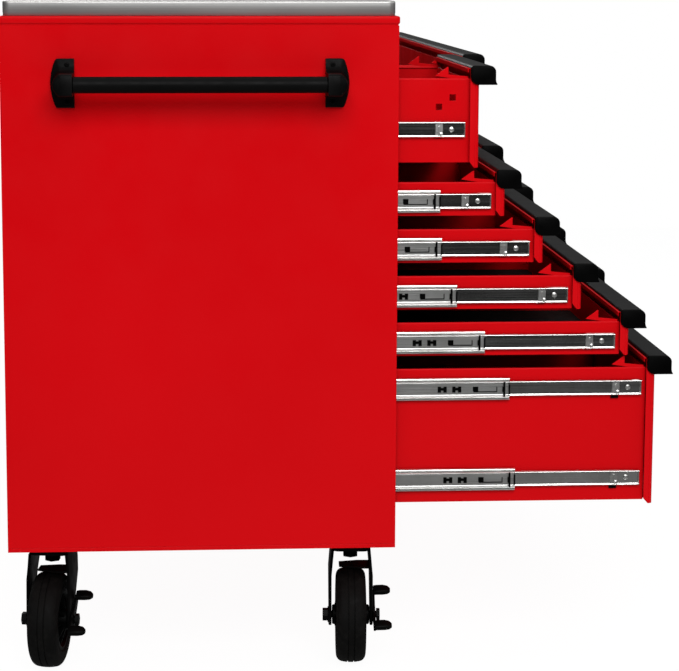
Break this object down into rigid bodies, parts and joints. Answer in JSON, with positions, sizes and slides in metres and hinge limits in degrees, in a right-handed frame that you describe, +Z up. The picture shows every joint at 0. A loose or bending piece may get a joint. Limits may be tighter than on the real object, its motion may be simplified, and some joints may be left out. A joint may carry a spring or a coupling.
{
  "type": "rolling tool chest",
  "caption": "Wide roller cabinet with two banks of full-extension drawers, a steel worktop, a side push handle and braked swivel casters.",
  "frame": {"origin": "on the floor, under the middle of the chest's box with the drawers as they stand at rest", "axes": "+X towards the user's right along the long side, +Y towards the back, +Z up; drawers open towards -Y"},
  "size_m": [1.9026, 1.11, 1.12],
  "materials": {
    "red_powder_coat": "glossy powder coat",
    "black_powder_coat": "satin powder coat",
    "black_plastic": "fine-grained satin",
    "brushed_steel": "brushed",
    "bright_zinc": "bright zinc plate",
    "tyre_rubber": "matt"
  },
  "bodies": {
    "case": {"cabinet_case": "red_powder_coat", "worktop": "brushed_steel", "base_frame": "black_powder_coat", "handle_bar": "black_powder_coat", "handle_bracket_front": "black_powder_coat", "handle_bracket_rear": "black_powder_coat"},
    "left_drawer_1": {"drawer_left_1": "red_powder_coat", "pull_left_1": "black_plastic"},
    "left_middle_member_1": {"slide_left_1": "bright_zinc"},
    "left_drawer_2": {"drawer_left_2": "red_powder_coat", "pull_left_2": "black_plastic"},
    "left_middle_member_2": {"slide_left_2": "bright_zinc"},
    "left_drawer_3": {"drawer_left_3": "red_powder_coat", "pull_left_3": "black_plastic"},
    "left_middle_member_3": {"slide_left_3": "bright_zinc"},
    "left_drawer_4": {"drawer_left_4": "red_powder_coat", "pull_left_4": "black_plastic"},
    "left_middle_member_4": {"slide_left_4": "bright_zinc"},
    "left_drawer_5": {"drawer_left_5": "red_powder_coat", "pull_left_5": "black_plastic"},
    "left_middle_member_5": {"slide_left_5": "bright_zinc"},
    "left_drawer_6": {"drawer_left_6": "red_powder_coat", "pull_left_6": "black_plastic"},
    "left_middle_member_6": {"slide_left_6_upper": "bright_zinc", "slide_left_6_lower": "bright_zinc"},
    "right_drawer_1": {"drawer_right_1": "red_powder_coat", "pull_right_1": "black_plastic"},
    "right_middle_member_1": {"slide_right_1": "bright_zinc"},
    "right_drawer_2": {"drawer_right_2": "red_powder_coat", "pull_right_2": "black_plastic"},
    "right_middle_member_2": {"slide_right_2": "bright_zinc"},
    "right_drawer_3": {"drawer_right_3": "red_powder_coat", "pull_right_3": "black_plastic"},
    "right_middle_member_3": {"slide_right_3": "bright_zinc"},
    "right_drawer_4": {"drawer_right_4": "red_powder_coat", "pull_right_4": "black_plastic"},
    "right_middle_member_4": {"slide_right_4": "bright_zinc"},
    "right_drawer_5": {"drawer_right_5": "red_powder_coat", "pull_right_5": "black_plastic"},
    "right_middle_member_5": {"slide_right_5": "bright_zinc"},
    "right_drawer_6": {"drawer_right_6": "red_powder_coat", "pull_right_6": "black_plastic"},
    "right_middle_member_6": {"slide_right_6_upper": "bright_zinc", "slide_right_6_lower": "bright_zinc"},
    "left_rear_swivel": {"caster_left_rear_fork": "black_powder_coat"},
    "left_rear_wheel": {"caster_left_rear_hub": "black_plastic", "caster_left_rear_tyre": "tyre_rubber"},
    "left_rear_brake": {"caster_left_rear_pedal": "black_powder_coat"},
    "left_front_swivel": {"caster_left_front_fork": "black_powder_coat"},
    "left_front_wheel": {"caster_left_front_hub": "black_plastic", "caster_left_front_tyre": "tyre_rubber"},
    "left_front_brake": {"caster_left_front_pedal": "black_powder_coat"},
    "right_front_swivel": {"caster_right_front_fork": "black_powder_coat"},
    "right_front_wheel": {"caster_right_front_hub": "black_plastic", "caster_right_front_tyre": "tyre_rubber"},
    "right_front_brake": {"caster_right_front_pedal": "black_powder_coat"},
    "right_rear_swivel": {"caster_right_rear_fork": "black_powder_coat"},
    "right_rear_wheel": {"caster_right_rear_hub": "black_plastic", "caster_right_rear_tyre": "tyre_rubber"},
    "right_rear_brake": {"caster_right_rear_pedal": "black_powder_coat"}
  },
  "joints": [
    {"name": "left_drawer_1_slide", "type": "slide", "parent": "case", "child": "left_drawer_1", "axis": [0, -1, 0], "range_m": [-0.131, 0.429]},
    {"name": "left_middle_member_1_slide", "type": "slide", "parent": "case", "child": "left_middle_member_1", "axis": [0, -1, 0], "range_m": [-0.0665, 0.2155]},
    {"name": "left_drawer_2_slide", "type": "slide", "parent": "case", "child": "left_drawer_2", "axis": [0, -1, 0], "range_m": [-0.175, 0.385]},
    {"name": "left_middle_member_2_slide", "type": "slide", "parent": "case", "child": "left_middle_member_2", "axis": [0, -1, 0], "range_m": [-0.0885, 0.1935]},
    {"name": "left_drawer_3_slide", "type": "slide", "parent": "case", "child": "left_drawer_3", "axis": [0, -1, 0], "range_m": [-0.239, 0.321]},
    {"name": "left_middle_member_3_slide", "type": "slide", "parent": "case", "child": "left_middle_member_3", "axis": [0, -1, 0], "range_m": [-0.1205, 0.1615]},
    {"name": "left_drawer_4_slide", "type": "slide", "parent": "case", "child": "left_drawer_4", "axis": [0, -1, 0], "range_m": [-0.3035, 0.2565]},
    {"name": "left_middle_member_4_slide", "type": "slide", "parent": "case", "child": "left_middle_member_4", "axis": [0, -1, 0], "range_m": [-0.1527, 0.1293]},
    {"name": "left_drawer_5_slide", "type": "slide", "parent": "case", "child": "left_drawer_5", "axis": [0, -1, 0], "range_m": [-0.3835, 0.1765]},
    {"name": "left_middle_member_5_slide", "type": "slide", "parent": "case", "child": "left_middle_member_5", "axis": [0, -1, 0], "range_m": [-0.1928, 0.0893]},
    {"name": "left_drawer_6_slide", "type": "slide", "parent": "case", "child": "left_drawer_6", "axis": [0, -1, 0], "range_m": [-0.429, 0.131]},
    {"name": "left_middle_member_6_slide", "type": "slide", "parent": "case", "child": "left_middle_member_6", "axis": [0, -1, 0], "range_m": [-0.2155, 0.0665]},
    {"name": "right_drawer_1_slide", "type": "slide", "parent": "case", "child": "right_drawer_1", "axis": [0, -1, 0], "range_m": [-0.18, 0.38]},
    {"name": "right_middle_member_1_slide", "type": "slide", "parent": "case", "child": "right_middle_member_1", "axis": [0, -1, 0], "range_m": [-0.091, 0.191]},
    {"name": "right_drawer_2_slide", "type": "slide", "parent": "case", "child": "right_drawer_2", "axis": [0, -1, 0], "range_m": [-0.217, 0.343]},
    {"name": "right_middle_member_2_slide", "type": "slide", "parent": "case", "child": "right_middle_member_2", "axis": [0, -1, 0], "range_m": [-0.1095, 0.1725]},
    {"name": "right_drawer_3_slide", "type": "slide", "parent": "case", "child": "right_drawer_3", "axis": [0, -1, 0], "range_m": [-0.274, 0.286]},
    {"name": "right_middle_member_3_slide", "type": "slide", "parent": "case", "child": "right_middle_member_3", "axis": [0, -1, 0], "range_m": [-0.138, 0.144]},
    {"name": "right_drawer_4_slide", "type": "slide", "parent": "case", "child": "right_drawer_4", "axis": [0, -1, 0], "range_m": [-0.336, 0.224]},
    {"name": "right_middle_member_4_slide", "type": "slide", "parent": "case", "child": "right_middle_member_4", "axis": [0, -1, 0], "range_m": [-0.169, 0.113]},
    {"name": "right_drawer_5_slide", "type": "slide", "parent": "case", "child": "right_drawer_5", "axis": [0, -1, 0], "range_m": [-0.411, 0.149]},
    {"name": "right_middle_member_5_slide", "type": "slide", "parent": "case", "child": "right_middle_member_5", "axis": [0, -1, 0], "range_m": [-0.2065, 0.0755]},
    {"name": "right_drawer_6_slide", "type": "slide", "parent": "case", "child": "right_drawer_6", "axis": [0, -1, 0], "range_m": [-0.445, 0.115]},
    {"name": "right_middle_member_6_slide", "type": "slide", "parent": "case", "child": "right_middle_member_6", "axis": [0, -1, 0], "range_m": [-0.2235, 0.0585]},
    {"name": "left_rear_swivel_turn", "type": "hinge", "parent": "case", "child": "left_rear_swivel", "pos_m": [-0.75425, 0.4895, 0.2], "axis": [0, 0, 1], "continuous": true},
    {"name": "left_rear_wheel_spin", "type": "hinge", "parent": "left_rear_swivel", "child": "left_rear_wheel", "pos_m": [-0.78396, 0.49367, 0.08], "axis": [-0.1392, -0.9903, 0], "continuous": true},
    {"name": "left_rear_brake_rock", "type": "hinge", "parent": "left_rear_swivel", "child": "left_rear_brake", "pos_m": [-0.78396, 0.49367, 0.08], "axis": [-0.1392, -0.9903, 0], "range_deg": [-28, 0]},
    {"name": "left_front_swivel_turn", "type": "hinge", "parent": "case", "child": "left_front_swivel", "pos_m": [-0.75425, -0.0175, 0.2], "axis": [0, 0, 1], "continuous": true},
    {"name": "left_front_wheel_spin", "type": "hinge", "parent": "left_front_swivel", "child": "left_front_wheel", "pos_m": [-0.78421, -0.01593, 0.08], "axis": [-0.0523, -0.9986, 0], "continuous": true},
    {"name": "left_front_brake_rock", "type": "hinge", "parent": "left_front_swivel", "child": "left_front_brake", "pos_m": [-0.78421, -0.01593, 0.08], "axis": [-0.0523, -0.9986, 0], "range_deg": [-28, 0]},
    {"name": "right_front_swivel_turn", "type": "hinge", "parent": "case", "child": "right_front_swivel", "pos_m": [0.82475, -0.0175, 0.2], "axis": [0, 0, 1], "continuous": true},
    {"name": "right_front_wheel_spin", "type": "hinge", "parent": "right_front_swivel", "child": "right_front_wheel", "pos_m": [0.79491, -0.02064, 0.08], "axis": [0.1045, -0.9945, 0], "continuous": true},
    {"name": "right_front_brake_rock", "type": "hinge", "parent": "right_front_swivel", "child": "right_front_brake", "pos_m": [0.79491, -0.02064, 0.08], "axis": [0.1045, -0.9945, 0], "range_deg": [-28, 0]},
    {"name": "right_rear_swivel_turn", "type": "hinge", "parent": "case", "child": "right_rear_swivel", "pos_m": [0.82475, 0.4895, 0.2], "axis": [0, 0, 1], "continuous": true},
    {"name": "right_rear_wheel_spin", "type": "hinge", "parent": "right_rear_swivel", "child": "right_rear_wheel", "pos_m": [0.79486, 0.49212, 0.08], "axis": [-0.0872, -0.9962, 0], "continuous": true},
    {"name": "right_rear_brake_rock", "type": "hinge", "parent": "right_rear_swivel", "child": "right_rear_brake", "pos_m": [0.79486, 0.49212, 0.08], "axis": [-0.0872, -0.9962, 0], "range_deg": [-28, 0]}
  ],
  "couplings": [
    {"joint": "left_middle_member_1_slide", "follows": "left_drawer_1_slide", "ratio": 0.5},
    {"joint": "left_middle_member_2_slide", "follows": "left_drawer_2_slide", "ratio": 0.5},
    {"joint": "left_middle_member_3_slide", "follows": "left_drawer_3_slide", "ratio": 0.5},
    {"joint": "left_middle_member_4_slide", "follows": "left_drawer_4_slide", "ratio": 0.5},
    {"joint": "left_middle_member_5_slide", "follows": "left_drawer_5_slide", "ratio": 0.5},
    {"joint": "left_middle_member_6_slide", "follows": "left_drawer_6_slide", "ratio": 0.5},
    {"joint": "right_middle_member_1_slide", "follows": "right_drawer_1_slide", "ratio": 0.5},
    {"joint": "right_middle_member_2_slide", "follows": "right_drawer_2_slide", "ratio": 0.5},
    {"joint": "right_middle_member_3_slide", "follows": "right_drawer_3_slide", "ratio": 0.5},
    {"joint": "right_middle_member_4_slide", "follows": "right_drawer_4_slide", "ratio": 0.5},
    {"joint": "right_middle_member_5_slide", "follows": "right_drawer_5_slide", "ratio": 0.5},
    {"joint": "right_middle_member_6_slide", "follows": "right_drawer_6_slide", "ratio": 0.5}
  ]
}
